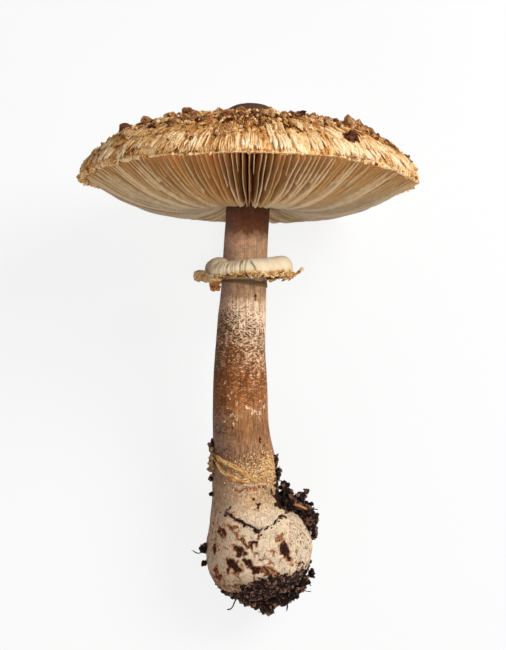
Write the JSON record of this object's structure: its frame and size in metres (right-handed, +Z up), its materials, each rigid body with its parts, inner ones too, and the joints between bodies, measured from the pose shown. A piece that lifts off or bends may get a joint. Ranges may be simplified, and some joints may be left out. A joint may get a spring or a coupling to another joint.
{
  "type": "parasol mushroom",
  "caption": "Whole picked parasol mushroom lying on its back: broad scaly cap over free gills, ringed stem with snakeskin bands, swollen bulb with soil.",
  "frame": {"origin": "under the middle of the lying mushroom's bounding box, on the surface that it rests on", "axes": "+Z up from that surface; +Y along the stem towards the cap, whose end is raised by 15.7 degrees; +X across, towards the side with the larger clod of soil"},
  "size_m": [0.15, 0.223, 0.1396],
  "materials": {
    "cap_skin": "matte",
    "gill_flesh": "matte",
    "stem_skin": "matte",
    "ring_flesh": "matte",
    "torn_skin": "matte",
    "soil": "matte",
    "straw": "matte"
  },
  "bodies": {
    "root": {"cap": "cap_skin", "gills": "gill_flesh", "stem": "stem_skin", "ring": "ring_flesh", "skin_band": "torn_skin", "soil_clod_side": "soil", "soil_clod_base": "soil", "soil_crumb_left": "soil", "soil_crumb_left_small": "soil", "soil_crumb_band": "soil", "soil_crumb_band_small": "soil", "soil_crumb_corner": "soil", "rootlet": "soil", "straw": "straw"}
  },
  "joints": []
}
